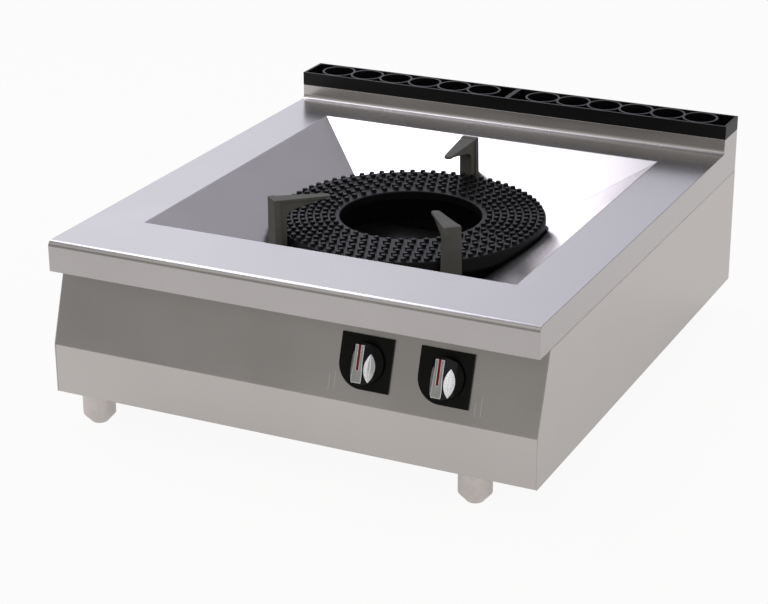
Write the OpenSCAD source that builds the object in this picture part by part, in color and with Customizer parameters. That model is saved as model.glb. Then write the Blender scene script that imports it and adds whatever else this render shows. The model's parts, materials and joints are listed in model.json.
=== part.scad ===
// Countertop paella burner: a steel body with a sloped well, a large ring
// burner on two gas circuits, three pan supports and a flue at the back.
// Millimetres. X runs left to right, Y front to back, Z up.
// The origin is at the level of the feet's undersides, under the middle of the
// whole unit, with its knobs.

/* [Body] */
// Width of the body
unit_w = 800; // [700:10:1000]
// Depth of the body
unit_d = 900; // [840:10:1000]
// Height of the body, from its underside to the worktop
body_h = 248; // [238:1:280]
// Height of the feet under the body
foot_h = 52; // [46:1:70]
// Thickness of the worktop sheet
top_t = 2; // [1.5:0.1:3]
// Thickness of the panel sheet
panel_t = 1.5; // [1:0.1:2.5]
// Height of the front fascia and of the side skirts
fascia_h = 49; // [44:1:55]
// Outside radius of the rolled front edge
nose_r = 10; // [6:1:14]
// Height of the upright lower front
lower_front_h = 79; // [70:1:90]
// How far the control panel leans back at its top
panel_lean = 40; // [30:1:45]

/* [Well] */
// Width of the well opening
well_w = 620; // [600:2:640]
// Length of the well opening, front to back
well_l = 616; // [600:2:630]
// Distance from the front edge to the centre of the well
well_from_front = 440; // [436:1:446]
// Fall of the well walls for each millimetre inwards
well_slope = 0.57; // [0.5:0.01:0.6]
// Thickness of the well sheet, measured upright
well_t = 2.2; // [1.6:0.1:3]
// Gap between the burner rim and the edge of the well
rim_gap = 4.5; // [3:0.5:8]

/* [Burner] */
// Outside radius of the burner head
head_r = 217.5; // [214:0.5:220]
// Radius of the hole in the burner head
head_hole_r = 115; // [100:1:117]
// Depth of the head's top face below the worktop
head_drop = 40; // [38:1:44]
// Thickness of the head's plate
head_t = 14; // [12:1:16]
// Height of the rounded skirt round the head
skirt_h = 30; // [24:1:34]
// Thickness of that skirt
skirt_t = 11; // [8:0.5:12]
// Number of stud rings
stud_rings = 8; // [4:1:8]
// Studs in the innermost ring
stud_first = 40; // [30:1:44]
// More studs in each next ring
stud_more = 5; // [3:1:6]
// Radius of the innermost stud ring
stud_ring_r = 127; // [124:1:127]
// Distance between stud rings
stud_pitch = 12; // [11:0.5:12]
// Radius of a stud
stud_r = 4.3; // [3:0.1:4.6]
// Height of a stud
stud_h = 5; // [3:0.5:7]
// Turn of every second stud ring, as a share of its stud spacing
stud_turn = 0.2; // [0:0.05:0.5]
// Gap between the lowest edge of the well and the bars that carry the burner
bar_clear = 1.2; // [1:0.1:3]
// Outside radius of the mixer tubes
mixer_r = 18; // [14:1:18]
// Distance of each mixer tube from the centre line
mixer_x = 45; // [42:1:60]

/* [Pan supports] */
// Height of the support tops above the worktop at their posts
support_up = 22.5; // [16:0.5:40]
// Fall of the fingers towards their tips
finger_fall = 7.5; // [0:0.5:10]
// Radius of the outer face of the posts
support_r = 241; // [238:1:246]
// Radius at which the fingers end
finger_tip_r = 141; // [125:1:170]
// Width of the posts
support_w = 28; // [22:1:34]
// Thickness of the posts
support_t = 11; // [8:1:12]
// Angle of the front supports from the front centre line
support_angle = 40; // [35:1:50]

/* [Flue] */
// Depth of the flue at the back
flue_d = 68; // [64:1:76]
// Height of the flue above the worktop
flue_h = 25.5; // [20:0.5:40]
// Radius of the cove at the foot of the flue
cove_r = 8; // [5:1:12]
// Height of the flue grilles
grille_h = 23; // [18:1:30]
// Wall of the flue grilles
grille_wall = 4; // [3:0.5:5]

/* [Controls] */
// Distance of the left knob from the centre line
knob_x = 125; // [110:1:140]
// Distance between the knobs
knob_pitch = 125; // [110:1:126]
// Height of the knob axes along the control panel
knob_up = 61.5; // [58:0.5:66]
// Width of the bezels
bezel_w = 83; // [76:1:90]
// Height of the bezels
bezel_l = 80; // [76:1:84]
// Thickness of the bezels
bezel_t = 3; // [2:0.5:3.5]
// Radius of the rounded lower corner of the bezels
bezel_corner_r = 38; // [10:1:39]
// Radius of the knob's round base
knob_r = 31; // [30:0.5:34]
// Height of the knob's face above the control panel
knob_face_up = 28; // [26:0.5:32]
// Length of the knob's grip above its axis
grip_top = 27.5; // [25:0.5:30]
// Length of the knob's grip below its axis
grip_bottom = 28; // [26:0.5:30]
// Width of the grip at its top
grip_w = 14; // [12:0.5:16]
// Push travel of the knobs
knob_push = 2.5; // [2:0.5:3]

/* [Feet] */
// Radius of the feet
foot_r = 25.4; // [18:0.2:26]
// Distance of the left feet from the left side
foot_left_inset = 55; // [50:1:110]
// Distance of the right feet from the right side
foot_right_inset = 107; // [50:1:120]
// Distance of the feet from the front and the back
foot_inset_y = 31; // [30:1:80]
// Width of the chamfer under the feet
foot_chamfer = 13; // [8:1:14]

/* [Hidden] */
$fn = 64;

// Clearances
run_fit = 0.05;
body_gap = 0.3;

// Levels, from the floor up
under_z = foot_h;
top_z = foot_h + body_h;
fascia_z = top_z - fascia_h;
lean_z = under_z + lower_front_h;
flue_z = top_z + flue_h;
base_top_z = under_z + panel_t;

// Lean of the control panel, and how far the knobs stand out in front of the body
lean_h = fascia_z - lean_z;
lean_a = atan(panel_lean / lean_h);
knob_out = knob_face_up * cos(lean_a) - (knob_up - grip_bottom) * sin(lean_a);

// Plan positions
half_w = unit_w / 2;
front_y = (knob_out - unit_d) / 2;
back_y = front_y + unit_d;
flue_y = back_y - flue_d;
side_in = half_w - panel_t;
front_in = front_y + panel_t;
back_in = back_y - panel_t;

// Well and burner
burner_y = front_y + well_from_front;
well_hole_r = head_r + rim_gap;
well_flange = 15;
collar_t = 2;
head_z = top_z - head_drop;
head_under_z = head_z - head_t;
skirt_z = head_z - skirt_h;
skirt_gap = 1.5;
well_low_z = top_z - well_slope * ((well_w + well_l) / 4 - well_hole_r / sqrt(2)) - well_t;
bowl_z = well_low_z - bar_clear;
bowl_t = 4;
bowl_edge = 6;
bowl_out_r = head_r - skirt_t - skirt_gap;
bowl_in_r = head_hole_r + 3;
bowl_mid_r = (bowl_out_r + bowl_in_r) / 2;
bar_w = 20;
bar_t = 6;
bar_off = 154;
bar_z = bowl_z - bar_t;
collar_z = bowl_z + 1;
mixer_wall = 3;
mixer_z = bar_z - mixer_r - 2;
mixer_len = 305;
mixer_front_y = burner_y - mixer_len;
riser_r = 13;
riser_inner_off = 128;
riser_outer_off = 180;

// Flue
flue_lip = 12;
box_t = 1.5;
box_drop = 150;
grille_gap = 0.5;
grille_len = (unit_w - grille_gap) / 2;
grille_holes = 6;
grille_pitch = 57.5;
ring_out_r = (flue_d - 2 * grille_wall) / 2 + 0.5;
ring_in_r = ring_out_r - grille_wall;

// Controls, measured out from the front of the control panel
lip_over = 8;
bezel_hole_r = 8;
knob_under = bezel_t + knob_push + body_gap;
knob_base_top = knob_under + 2.2;
grip_waist = 13.6;
grip_flare = 16;
face_t = 1.2;
cheek_t = 1.5;
cheek_top = 15.5;
cheek_bottom = 27;
cheek_low = 8;
cheek_high = 25.5;
cheek_out = 19;
marker_w = 3.6;
marker_t = 0.6;
marker_len = 37;
spindle_r = 4;
spindle_knob = 22;
tap_r = 15;
tap_flange_r = 20;
tap_flange_t = 3;
tap_len = 42;
plug_r = 9;
plug_front = 10;
plug_back = 38;
spindle_back = 31;
tap_mid = 25;

// Gas rail
rail_w = 20;
rail_t = 2;
rail_z = under_z + 88;
rail_y = front_y + 50;
rail_left = 55;
rail_right = 60;
main_r = 8;
inlet_r = 10.48;
inlet_len = 20;
inlet_hole_gap = 0.5;
inlet_shoulder = 0.2;
inlet_clear = 30;
inlet_y = back_y - foot_inset_y - foot_r - inlet_clear;
pipe_r = 5;
elbow_r = 7;
injector_y = mixer_front_y - 14;
bracket_t = 3;
route_left_y = injector_y - 33;
route_right_y = injector_y - 15;

// Feet
stud_rod_r = 5;
stud_rod_up = 25;
socket_r = 11;
socket_h = 20;
foot_neck_h = 14.5;
foot_hole_z = foot_neck_h + 5;

function arc(cx, cy, r, a0, a1, n) =
    [for (i = [0:n]) [cx + r * cos(a0 + (a1 - a0) * i / n), cy + r * sin(a0 + (a1 - a0) * i / n)]];

// Draws a profile given in Y and Z, stretched along X from x0 to x1
module along_x(x0, x1) {
    translate([x0, 0, 0])
        rotate([90, 0, 90])
            linear_extrude(x1 - x0)
                children();
}

// Straight rod between two points
module rod(a, b, r) {
    d = b - a;
    len = norm(d);
    translate(a)
        rotate([0, acos(d[2] / len), atan2(d[1], d[0])])
            cylinder(r = r, h = len);
}

// Puts a piece on the control panel at distance x from the centre and up along the panel
module on_panel(x, up) {
    translate([x, front_y + up * sin(lean_a), lean_z + up * cos(lean_a)])
        rotate([90 - lean_a, 0, 0])
            children();
}

// Space above the upper face of the well walls, dropped by a given amount; it widens above the worktop
module above_well(drop) {
    half_x = well_w / 2;
    half_y = well_l / 2;
    far = unit_w;
    intersection() {
        translate([0, burner_y + far, 0])
            rotate([90, 0, 0])
                linear_extrude(2 * far)
                    polygon([
                        [-far, top_z], [-half_x, top_z], [-half_x, top_z - drop],
                        [0, top_z - drop - well_slope * half_x], [half_x, top_z - drop],
                        [half_x, top_z], [far, top_z], [far, 2 * top_z], [-far, 2 * top_z]]);
        along_x(-far, far)
            polygon([
                [burner_y - far, top_z], [burner_y - half_y, top_z], [burner_y - half_y, top_z - drop],
                [burner_y, top_z - drop - well_slope * half_y], [burner_y + half_y, top_z - drop],
                [burner_y + half_y, top_z], [burner_y + far, top_z], [burner_y + far, 2 * top_z],
                [burner_y - far, 2 * top_z]]);
    }
}

// Section of the worktop from the fascia's return to the top of the flue
module worktop_section() {
    polygon(concat(
        [[front_y + panel_lean + lip_over, fascia_z], [front_y, fascia_z]],
        arc(front_y + nose_r, top_z - nose_r, nose_r, 180, 90, 10),
        arc(flue_y - cove_r, top_z + cove_r, cove_r, 270, 360, 8),
        [[flue_y, flue_z], [flue_y + flue_lip, flue_z], [flue_y + flue_lip, flue_z - top_t],
         [flue_y + top_t, flue_z - top_t]],
        arc(flue_y - cove_r, top_z + cove_r, cove_r + top_t, 360, 270, 8),
        arc(front_y + nose_r, top_z - nose_r, nose_r - top_t, 90, 180, 10),
        [[front_y + top_t, fascia_z + top_t], [front_y + panel_lean + lip_over, fascia_z + top_t]]));
}

// Side of the worktop: the skirt and the end of the flue
module skirt_section() {
    polygon(concat(
        [[back_y, fascia_z], [front_y, fascia_z]],
        arc(front_y + nose_r, top_z - nose_r, nose_r, 180, 90, 10),
        arc(flue_y - cove_r, top_z + cove_r, cove_r, 270, 360, 8),
        [[flue_y, flue_z], [back_y, flue_z]]));
}

module worktop() {
    color("lightsteelblue")
        difference() {
            union() {
                along_x(-half_w + top_t, half_w - top_t)
                    worktop_section();
                for (side = [-1, 1])
                    along_x(side < 0 ? -half_w : half_w - top_t, side < 0 ? -half_w + top_t : half_w)
                        skirt_section();
                translate([-half_w + top_t, back_y - top_t, fascia_z])
                    cube([unit_w - 2 * top_t, top_t, flue_z - fascia_z]);
                translate([-half_w + top_t, back_y - flue_lip, flue_z - top_t])
                    cube([unit_w - 2 * top_t, flue_lip - top_t, top_t]);
                for (side = [-1, 1])
                    translate([side < 0 ? -half_w + top_t : half_w - flue_lip, flue_y + flue_lip,
                               flue_z - top_t])
                        cube([flue_lip - top_t, flue_d - 2 * flue_lip, top_t]);
            }
            translate([-well_w / 2, burner_y - well_l / 2, top_z - 2 * top_t])
                cube([well_w, well_l, 4 * top_t]);
        }
}

module burner_well() {
    flange_w = well_w + 2 * well_flange;
    flange_l = well_l + 2 * well_flange;
    color("silver")
        difference() {
            union() {
                intersection() {
                    above_well(well_t);
                    translate([-well_w / 2, burner_y - well_l / 2, collar_z])
                        cube([well_w, well_l, top_z + 1 - collar_z]);
                }
                translate([-flange_w / 2, burner_y - flange_l / 2, top_z - 2 * top_t])
                    cube([flange_w, flange_l, top_t]);
                translate([0, burner_y, collar_z])
                    cylinder(r = well_hole_r + collar_t, h = top_z - 3 * top_t - collar_z, $fn = 128);
            }
            above_well(0);
            translate([0, burner_y, collar_z - 1])
                cylinder(r = well_hole_r, h = top_z + 2 - collar_z, $fn = 128);
        }
}

// Side panel, drawn for the right side
module side_panel() {
    along_x(side_in, half_w)
        polygon([
            [front_y, under_z], [front_y, lean_z], [front_y + panel_lean, fascia_z],
            [back_y, fascia_z], [back_y, under_z]]);
    translate([side_in - screw_flange, front_in, base_top_z])
        cube([screw_flange, unit_d - 2 * panel_t, panel_t]);
}

screw_flange = 16;
screw_r = 2;
screw_head_r = 3.8;
screw_head_h = 1.6;
screw_n = 4;
screw_first_y = 110;

// Places of the screws along one side
function screw_y(i) = front_y + screw_first_y + i * (unit_d - 2 * screw_first_y) / (screw_n - 1);

module screw_holes() {
    for (side = [-1, 1])
        for (i = [0:screw_n - 1])
            translate([side * (side_in - screw_flange / 2), screw_y(i), under_z - 10])
                cylinder(r = screw_r, h = 30, $fn = 24);
}

module side_panel_right() {
    color("lightgray")
        difference() {
            side_panel();
            screw_holes();
        }
}

module side_panel_left() {
    color("lightgray")
        difference() {
            mirror([1, 0, 0])
                side_panel();
            screw_holes();
        }
}

module control_panel() {
    skin = panel_t / cos(lean_a);
    color("dimgray")
        difference() {
            along_x(-side_in, side_in)
                polygon([
                    [front_y, lean_z], [front_y + panel_lean, fascia_z],
                    [front_y + panel_lean + skin, fascia_z], [front_y + skin, lean_z]]);
            for (i = [0:1])
                on_panel(knob_x + i * knob_pitch, knob_up)
                    translate([0, 0, -10])
                        cylinder(r = bezel_hole_r, h = 20, $fn = 32);
        }
}

module lower_front_panel() {
    lip = 12;
    color("lightgray") {
        translate([-side_in, front_y, under_z])
            cube([2 * side_in, panel_t, lower_front_h]);
        translate([-side_in, front_in, lean_z - panel_t])
            cube([2 * side_in, lip, panel_t]);
    }
}

module back_panel() {
    slot_w = 60;
    slot_h = 6;
    color("silver")
        difference() {
            translate([-side_in, back_in, under_z])
                cube([2 * side_in, panel_t, fascia_z - under_z]);
            for (x = [-2:2])
                for (row = [0:2])
                    translate([x * 110 - slot_w / 2, back_in - 5, under_z + 45 + row * 16])
                        cube([slot_w, 10 + panel_t, slot_h]);
        }
}

module base_pan() {
    slot_w = 80;
    slot_h = 8;
    color("silver")
        difference() {
            translate([-side_in, front_in, under_z])
                cube([2 * side_in, unit_d - 2 * panel_t, panel_t]);
            at_feet()
                translate([0, 0, under_z - 10])
                    cylinder(r = stud_rod_r + 0.5, h = 30, $fn = 32);
            translate([inlet_x, inlet_y, under_z - 10])
                cylinder(r = inlet_r + inlet_hole_gap, h = 30, $fn = 48);
            for (side = [-1, 1])
                for (row = [0:5])
                    translate([side * (tray_r + 80) - slot_w / 2, burner_y + row * 24 - 60, under_z - 5])
                        cube([slot_w, slot_h, 10 + panel_t]);
            screw_holes();
        }
}

module base_screws() {
    color("gainsboro")
        for (side = [-1, 1])
            for (i = [0:screw_n - 1])
                translate([side * (side_in - screw_flange / 2), screw_y(i), under_z - screw_head_h]) {
                    cylinder(r = screw_head_r, h = screw_head_h, $fn = 24);
                    cylinder(r = screw_r, h = screw_head_h + 2 * panel_t + 4, $fn = 24);
                }
}

inlet_x = -half_w + rail_left + rail_w / 2;

module flue_box() {
    in_x = half_w - flue_lip;
    in_y0 = flue_y + flue_lip;
    in_y1 = back_y - flue_lip;
    bottom = flue_z - top_t - box_drop;
    color("silver")
        difference() {
            translate([-in_x - box_t, in_y0 - box_t, bottom])
                cube([2 * (in_x + box_t), in_y1 - in_y0 + 2 * box_t, box_drop]);
            translate([-in_x, in_y0, bottom - 1])
                cube([2 * in_x, in_y1 - in_y0, box_drop + 2]);
        }
}

// Cast flue grille, drawn with its left end at x = 0 and its front at y = 0
module flue_grille() {
    first = (grille_len - (grille_holes - 1) * grille_pitch) / 2;
    mid = flue_d / 2;
    linear_extrude(grille_h)
        difference() {
            union() {
                difference() {
                    square([grille_len, flue_d]);
                    translate([grille_wall, grille_wall])
                        square([grille_len - 2 * grille_wall, flue_d - 2 * grille_wall]);
                }
                for (i = [0:grille_holes - 1])
                    translate([first + i * grille_pitch, mid])
                        circle(r = ring_out_r);
            }
            for (i = [0:grille_holes - 1])
                translate([first + i * grille_pitch, mid])
                    circle(r = ring_in_r);
        }
}

module flue_grille_left() {
    color("#1c1c1c")
        translate([-half_w, flue_y, flue_z])
            flue_grille();
}

module flue_grille_right() {
    color("#1c1c1c")
        translate([grille_gap / 2, flue_y, flue_z])
            flue_grille();
}

module burner_crossbars() {
    color("gray")
        for (side = [-1, 1])
            translate([-side_in, burner_y + side * bar_off - bar_w / 2, bar_z])
                cube([2 * side_in, bar_w, bar_t]);
}

// Iron body with an inner and an outer gas channel
module burner_body() {
    color("#26282a")
        difference() {
            translate([0, burner_y, 0])
                rotate_extrude($fn = 128)
                    difference() {
                        polygon([
                            [bowl_in_r, bowl_z], [bowl_out_r - bowl_edge, bowl_z],
                            [bowl_out_r, bowl_z + 2 * bowl_edge], [bowl_out_r, head_under_z],
                            [bowl_in_r, head_under_z]]);
                        polygon([
                            [bowl_in_r + bowl_t, bowl_z + bowl_t], [bowl_mid_r - bowl_t / 2, bowl_z + bowl_t],
                            [bowl_mid_r - bowl_t / 2, head_under_z + 1], [bowl_in_r + bowl_t, head_under_z + 1]]);
                        polygon([
                            [bowl_mid_r + bowl_t / 2, bowl_z + bowl_t],
                            [bowl_out_r - bowl_edge - bowl_t / 2, bowl_z + bowl_t],
                            [bowl_out_r - bowl_t, bowl_z + 2 * bowl_edge + bowl_t / 2],
                            [bowl_out_r - bowl_t, head_under_z + 1],
                            [bowl_mid_r + bowl_t / 2, head_under_z + 1]]);
                    }
            translate([-mixer_x, burner_y - riser_inner_off, bowl_z - 5])
                cylinder(r = riser_r - mixer_wall, h = 12, $fn = 48);
            translate([mixer_x, burner_y - riser_outer_off, bowl_z - 5])
                cylinder(r = riser_r - mixer_wall, h = 12, $fn = 48);
        }
}

// Iron head: a flat ring with rings of studs, and a rounded skirt round the body
module burner_head() {
    color("#2b2d2f") {
        translate([0, burner_y, 0])
            rotate_extrude($fn = 128)
                polygon(concat(
                    [[head_hole_r, head_under_z], [head_hole_r, head_z - 1.5],
                     [head_hole_r + 1.5, head_z], [head_r - 1.5, head_z], [head_r, head_z - 1.5]],
                    arc(head_r - skirt_t, skirt_z + skirt_t, skirt_t, 0, -90, 8),
                    [[head_r - skirt_t, head_under_z]]));
        for (k = [0:stud_rings - 1])
            for (i = [0:stud_first + k * stud_more - 1])
                rotate_about_burner(360 * (i - stud_turn * (k % 2)) / (stud_first + k * stud_more))
                    translate([stud_ring_r + k * stud_pitch, 0, head_z - 1])
                        cylinder(r = stud_r, h = stud_h + 1, $fn = 24);
    }
}

// Turns a piece about the burner's axis and puts it there
module rotate_about_burner(angle) {
    translate([0, burner_y, 0])
        rotate([0, 0, angle])
            children();
}

// Mixer tube with its air windows and the riser into the burner body
module mixer_tube(x, riser_off) {
    riser_y = burner_y - riser_off;
    difference() {
        union() {
            translate([x, mixer_front_y, mixer_z])
                rotate([-90, 0, 0])
                    cylinder(r = mixer_r, h = riser_y - mixer_front_y + riser_r);
            translate([x, riser_y, mixer_z])
                cylinder(r = riser_r, h = bowl_z - mixer_z);
        }
        translate([x, mixer_front_y - 1, mixer_z])
            rotate([-90, 0, 0])
                cylinder(r = mixer_r - mixer_wall, h = riser_y - mixer_front_y + riser_r - mixer_wall);
        translate([x, riser_y, mixer_z])
            cylinder(r = riser_r - mixer_wall, h = bowl_z - mixer_z + 1);
        air_windows(x);
    }
}

window_off = 8;
window_l = 14;
window_w = 14;
shutter_l = 22;
shutter_t = 2.5;

// Air windows across a mixer tube, one pair upright and one pair level
module air_windows(x) {
    reach = 2 * (mixer_r + shutter_t + 1);
    translate([x - reach / 2, mixer_front_y + window_off, mixer_z - window_w / 2])
        cube([reach, window_l, window_w]);
    translate([x - window_w / 2, mixer_front_y + window_off, mixer_z - reach / 2])
        cube([window_w, window_l, reach]);
}

module mixer_tube_inner() {
    color("#55585a")
        mixer_tube(-mixer_x, riser_inner_off);
}

module mixer_tube_outer() {
    color("#55585a")
        mixer_tube(mixer_x, riser_outer_off);
}

// Sleeve that opens and closes the air windows
module air_shutter(x) {
    difference() {
        translate([x, mixer_front_y + window_off + window_l / 2 - shutter_l / 2, mixer_z])
            rotate([-90, 0, 0])
                cylinder(r = mixer_r + run_fit + shutter_t, h = shutter_l);
        translate([x, mixer_front_y, mixer_z])
            rotate([-90, 0, 0])
                cylinder(r = mixer_r + run_fit, h = 2 * (window_off + shutter_l));
        air_windows(x);
    }
}

module air_shutter_inner() {
    color("darkgray")
        air_shutter(-mixer_x);
}

module air_shutter_outer() {
    color("darkgray")
        air_shutter(mixer_x);
}

injector_hex_r = 9;
injector_hex_l = 10;
injector_neck_r = 5;
injector_neck_l = 16;
injector_jet_r = 1.2;

// Brass jet, screwed through the bracket and aimed into the mixer tube
module injector(x) {
    difference() {
        translate([x, injector_y - injector_hex_l, mixer_z])
            rotate([-90, 0, 0]) {
                cylinder(r = injector_hex_r, h = injector_hex_l, $fn = 6);
                cylinder(r = injector_neck_r, h = injector_hex_l + injector_neck_l);
            }
        translate([x, injector_y - injector_hex_l - 1, mixer_z])
            rotate([-90, 0, 0])
                cylinder(r = injector_jet_r, h = injector_hex_l + injector_neck_l + 2, $fn = 24);
    }
}

module injector_inner() {
    color("goldenrod")
        injector(-mixer_x);
}

module injector_outer() {
    color("goldenrod")
        injector(mixer_x);
}

bracket_side = 26;
bracket_foot = 20;
bracket_over = 20;

module injector_bracket() {
    half = mixer_x + bracket_side;
    color("silver")
        difference() {
            union() {
                translate([-half, injector_y, base_top_z])
                    cube([2 * half, bracket_t, mixer_z + bracket_over - base_top_z]);
                translate([-half, injector_y + bracket_t, base_top_z])
                    cube([2 * half, bracket_foot, bracket_t]);
            }
            for (side = [-1, 1])
                translate([side * mixer_x, injector_y - 5, mixer_z])
                    rotate([-90, 0, 0])
                        cylinder(r = injector_neck_r, h = 20);
            translate([0, injector_y - 5, rail_z])
                rotate([-90, 0, 0])
                    cylinder(r = pilot_pipe_r + 1, h = 20);
        }
}

pilot_y = burner_y - head_hole_r + 17;
pilot_plate_t = 3;
pilot_plate_w = 44;
thermo_x = 14;

module pilot_bracket() {
    front = burner_y - bar_off - bar_w / 2;
    color("silver")
        difference() {
            translate([-pilot_plate_w / 2, front, bar_z - pilot_plate_t])
                cube([pilot_plate_w, pilot_y + 12 - front, pilot_plate_t]);
            translate([0, pilot_y, bar_z - 10])
                cylinder(r = 3, h = 20, $fn = 32);
            for (side = [-1, 1])
                translate([side * thermo_x, pilot_y, bar_z - 10])
                    cylinder(r = 2.5, h = 20, $fn = 32);
        }
}

module pilot_burner() {
    color("silver")
        translate([0, pilot_y, bar_z]) {
            cylinder(r = 5.5, h = 26, $fn = 32);
            translate([0, 0, 26])
                cylinder(r = 7, h = 5, $fn = 32);
        }
}

// Thermocouples that stand on both sides of the pilot, one for each tap
module thermocouples() {
    color("peru")
        for (side = [-1, 1])
            translate([side * thermo_x, pilot_y, bar_z - 20]) {
                cylinder(r = 2.5, h = 58, $fn = 32);
                translate([0, 0, 20])
                    cylinder(r = 4, h = 8, $fn = 32);
            }
}

pilot_pipe_r = 3;

module pilot_pipe() {
    low = [0, pilot_y, rail_z];
    color("peru") {
        rod([0, rail_y + rail_w / 2, rail_z], low, pilot_pipe_r);
        translate(low)
            sphere(r = pilot_pipe_r + 1, $fn = 32);
        rod(low, [0, pilot_y, bar_z], pilot_pipe_r);
    }
}

tray_r = 225;
tray_h = 28;

// Round tray under the burner, which catches what boils over
module drip_tray() {
    color("gainsboro")
        translate([0, burner_y, base_top_z])
            difference() {
                cylinder(r = tray_r, h = tray_h, $fn = 128);
                translate([0, 0, panel_t])
                    cylinder(r = tray_r - panel_t, h = tray_h, $fn = 128);
            }
}

finger_t = 5;
finger_root_t = 20;
finger_tip_t = 4;
finger_tip_w = 14;
web_inset = 1.5;
web_d = 11;
post_draft = 2.5;

// Outline of the finger and its post from above, drawn in by an inset
module finger_outline(inset) {
    tip_x = finger_tip_r + finger_tip_w / 2;
    root_half = support_w / 2 - inset;
    tip_half = finger_tip_w / 2 - inset;
    polygon([
        [support_r, -root_half], [support_r, root_half], [tip_x, tip_half], [tip_x, -tip_half]]);
    translate([tip_x, 0])
        circle(r = tip_half, $fn = 32);
}

// Cast pan support, drawn along +X from the burner's axis; cut to the well by its caller
module pan_support() {
    top_out = top_z + support_up;
    top_tip = top_out - finger_fall;
    low = bowl_z - 10;
    post_in = support_r - support_t;
    web_in = post_in - web_d;
    // Upright post, wider at its foot
    translate([post_in, 0, 0])
        rotate([90, 0, 90])
            linear_extrude(support_t)
                polygon([
                    [-support_w / 2, top_out], [support_w / 2, top_out],
                    [support_w / 2 + post_draft, low], [-support_w / 2 - post_draft, low]]);
    // Finger with a rounded tip, cut level with its sloping top
    intersection() {
        translate([0, 0, low])
            linear_extrude(top_out - low + 10)
                finger_outline(0);
        translate([0, support_w, 0])
            rotate([90, 0, 0])
                linear_extrude(2 * support_w)
                    polygon([
                        [finger_tip_r - 1, top_tip], [support_r, top_out],
                        [support_r, top_out - finger_t], [finger_tip_r - 1, top_tip - finger_tip_t]]);
    }
    // Web under the finger and down the post, a little narrower than they are
    intersection() {
        translate([0, 0, low])
            linear_extrude(top_out - low)
                finger_outline(web_inset);
        translate([0, support_w, 0])
            rotate([90, 0, 0])
                linear_extrude(2 * support_w)
                    polygon(concat(
                        [[post_in + 1, low], [post_in + 1, top_out - finger_t],
                         [finger_tip_r + finger_tip_w, top_tip - finger_tip_t + 1],
                         [finger_tip_r + finger_tip_w, top_tip - finger_tip_t]],
                        arc(web_in - 14, top_out - finger_root_t - 14, 14, 75, 0, 6),
                        [[web_in, low]]));
    }
}

// Sets a pan support at an angle and stands it on the well wall
module place_support(angle) {
    color("#3f3d3b")
        intersection() {
            rotate_about_burner(angle)
                pan_support();
            above_well(0);
        }
}

module pan_support_back() {
    place_support(90);
}

module pan_support_left() {
    place_support(270 - support_angle);
}

module pan_support_right() {
    place_support(270 + support_angle);
}

module gas_manifold() {
    left = inlet_x - rail_w / 2;
    right = half_w - rail_right;
    color("silver")
        difference() {
            translate([left, rail_y - rail_w / 2, rail_z - rail_w / 2])
                cube([right - left, rail_w, rail_w]);
            translate([left + rail_t, rail_y - rail_w / 2 + rail_t, rail_z - rail_w / 2 + rail_t])
                cube([right - left - 2 * rail_t, rail_w - 2 * rail_t, rail_w - 2 * rail_t]);
        }
}

// Main pipe from the rail to the threaded inlet, which points down at the back
module gas_inlet_pipe() {
    color("silver") {
        difference() {
            union() {
                rod([inlet_x, rail_y + rail_w / 2, rail_z], [inlet_x, inlet_y, rail_z], main_r);
                translate([inlet_x, inlet_y, rail_z - 16])
                    cylinder(r = 14, h = 32, $fn = 48);
                translate([inlet_x, inlet_y, under_z - inlet_len])
                    cylinder(r = inlet_r, h = rail_z - under_z + inlet_len, $fn = 48);
                translate([inlet_x, inlet_y, under_z])
                    cylinder(r = inlet_r + inlet_shoulder, h = rail_z - under_z, $fn = 48);
                translate([inlet_x, inlet_y, base_top_z])
                    cylinder(r = 16, h = 8, $fn = 6);
            }
            translate([inlet_x, inlet_y, under_z - inlet_len - 1])
                cylinder(r = 7, h = rail_z - under_z + inlet_len, $fn = 48);
        }
    }
}

// Gas tap behind the control panel, with its leg on the rail and its outlet to the back
module gas_tap(x) {
    mid_y = front_y + knob_up * sin(lean_a) + tap_mid * cos(lean_a);
    mid_z = lean_z + knob_up * cos(lean_a) - tap_mid * sin(lean_a);
    difference() {
        union() {
            on_panel(x, knob_up) {
                translate([0, 0, -tap_len])
                    cylinder(r = tap_r, h = tap_len - panel_t, $fn = 48);
                translate([0, 0, -panel_t - tap_flange_t])
                    cylinder(r = tap_flange_r, h = tap_flange_t, $fn = 48);
            }
            translate([x, rail_y, rail_z + rail_w / 2])
                cylinder(r = 7, h = mid_z - rail_z - rail_w / 2, $fn = 32);
            translate([x, mid_y, mid_z])
                rotate([-90, 0, 0])
                    cylinder(r = 7.5, h = 32, $fn = 32);
        }
        on_panel(x, knob_up) {
            translate([0, 0, -plug_back])
                cylinder(r = plug_r + run_fit, h = plug_back - plug_front, $fn = 48);
            translate([0, 0, -plug_front - 1])
                cylinder(r = spindle_r + body_gap, h = plug_front + 2, $fn = 32);
        }
    }
}

module gas_tap_left() {
    color("goldenrod")
        gas_tap(knob_x);
}

module gas_tap_right() {
    color("goldenrod")
        gas_tap(knob_x + knob_pitch);
}

// Plug that turns in the tap and holds the sliding spindle
module tap_plug(x) {
    color("peru")
        on_panel(x, knob_up)
            difference() {
                translate([0, 0, -plug_back + body_gap])
                    cylinder(r = plug_r, h = plug_back - plug_front - 2 * body_gap, $fn = 48);
                translate([0, 0, -spindle_back - knob_push - 0.5])
                    cylinder(r = spindle_r + run_fit, h = plug_back, $fn = 32);
            }
}

module tap_plug_left() {
    tap_plug(knob_x);
}

module tap_plug_right() {
    tap_plug(knob_x + knob_pitch);
}

module tap_spindle(x) {
    color("silver")
        on_panel(x, knob_up)
            translate([0, 0, -spindle_back])
                cylinder(r = spindle_r, h = spindle_back + spindle_knob, $fn = 32);
}

module tap_spindle_left() {
    tap_spindle(knob_x);
}

module tap_spindle_right() {
    tap_spindle(knob_x + knob_pitch);
}

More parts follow.
